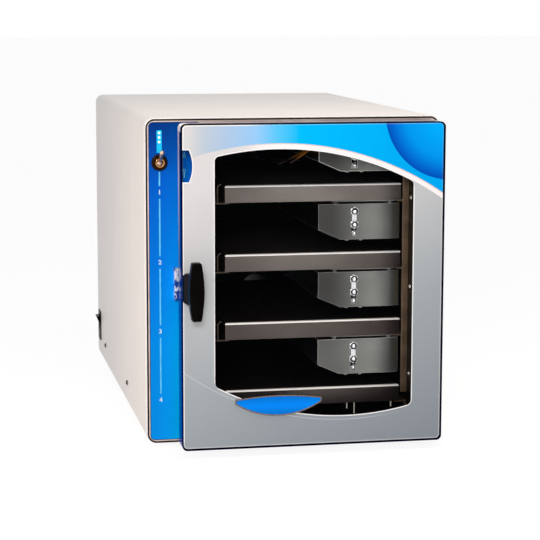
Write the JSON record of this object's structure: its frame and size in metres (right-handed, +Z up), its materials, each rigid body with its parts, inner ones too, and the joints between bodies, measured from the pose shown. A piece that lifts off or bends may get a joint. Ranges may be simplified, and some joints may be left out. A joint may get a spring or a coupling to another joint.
{
  "type": "freeze dryer",
  "caption": "Benchtop tray-type freeze dryer cabinet: vacuum chamber with heated shelves, thick clear hinged door, T-handle latch, blue control strip and rear vacuum port.",
  "frame": {"origin": "centre of the bounding box on the surface that the feet stand on", "axes": "+Z up, -Y the door's side, +X the hinge side, +Y along the vacuum port"},
  "size_m": [0.4134, 0.7704, 0.452],
  "materials": {
    "case_paint": "gloss off-white paint",
    "sheet_steel": "plain sheet",
    "chamber_steel": "satin, dark inside",
    "shelf_steel": "satin",
    "cover_steel": "satin",
    "bright_steel": "bright",
    "strip_print": "printed film",
    "door_print": "printed film",
    "clear_plate": "polished clear",
    "badge_metal": "bevelled rim",
    "badge_blue": "gloss",
    "black_plastic": "gloss black",
    "dull_plastic": "dull black",
    "switch_metal": "dull",
    "lamp_white": "clear white",
    "seal_rubber": "soft",
    "heater_rubber": "silicone",
    "foot_rubber": "soft",
    "board_green": "laminate",
    "brass_parts": "turned",
    "lead_sheath": "sheath",
    "amber_lead": "film-wrapped wire",
    "nylon": "natural nylon",
    "supply_case": "potted block"
  },
  "bodies": {
    "cabinet": {"cabinet_shell": "case_paint", "base_pan": "sheet_steel", "rear_panel": "case_paint", "front_panel": "sheet_steel", "panel_overlay": "strip_print", "chamber_liner": "chamber_steel", "liner_supports": "sheet_steel", "chamber_gasket": "seal_rubber", "vacuum_port": "sheet_steel", "feedthrough": "brass_parts", "lead_conduit": "lead_sheath", "heater_leads": "amber_lead", "rack_left": "cover_steel", "rack_right": "cover_steel", "shelf_1": "shelf_steel", "shelf_2": "shelf_steel", "shelf_3": "shelf_steel", "shelf_4": "shelf_steel", "heater_pads": "heater_rubber", "terminal_cover_1": "cover_steel", "terminal_cover_2": "cover_steel", "terminal_cover_3": "cover_steel", "terminal_cover_4": "cover_steel", "terminal_blocks": "dull_plastic", "cover_nuts": "bright_steel", "shelf_clips": "cover_steel", "tie_tails": "nylon", "chamber_screws": "bright_steel", "toggle_switch": "switch_metal", "toggle_nut": "switch_metal", "indicator_lamps": "lamp_white", "lamp_board": "board_green", "rocker_housing": "dull_plastic", "power_inlet": "dull_plastic", "fuse_holders": "dull_plastic", "feet": "foot_rubber", "case_screws": "bright_steel", "control_board": "board_green", "board_standoffs": "brass_parts", "power_supply": "supply_case", "vent_valve": "brass_parts", "wiring_harness": "lead_sheath", "hinge_leaf_cabinet": "bright_steel", "hinge_pins": "bright_steel", "panel_screws": "bright_steel", "latch_keeper": "bright_steel"},
    "door": {"door_panel": "clear_plate", "door_overlay": "door_print", "door_badge": "badge_metal", "badge_field": "badge_blue", "latch_bushing": "black_plastic", "hinge_leaf_door": "bright_steel", "hinge_screws": "bright_steel"},
    "latch": {"latch_handle": "black_plastic", "latch_shaft": "bright_steel", "latch_cam": "bright_steel", "latch_nut": "bright_steel"},
    "toggle": {"toggle_lever": "bright_steel"},
    "rocker": {"power_rocker": "black_plastic"}
  },
  "joints": [
    {"name": "door_swing", "type": "hinge", "parent": "cabinet", "child": "door", "pos_m": [0.19632, -0.3048, 0.229], "axis": [0, 0, 1], "range_deg": [0, 100]},
    {"name": "latch_turn", "type": "hinge", "parent": "door", "child": "latch", "pos_m": [-0.14388, -0.3448, 0.231], "axis": [0, 1, 0], "range_deg": [0, 90]},
    {"name": "toggle_throw", "type": "hinge", "parent": "cabinet", "child": "toggle", "pos_m": [-0.18048, -0.3033, 0.3936], "axis": [1, 0, 0], "range_deg": [0, 70]},
    {"name": "rocker_press", "type": "hinge", "parent": "cabinet", "child": "rocker", "pos_m": [-0.19468, 0.3132, 0.07], "axis": [0, 1, 0], "range_deg": [0, 18]}
  ]
}
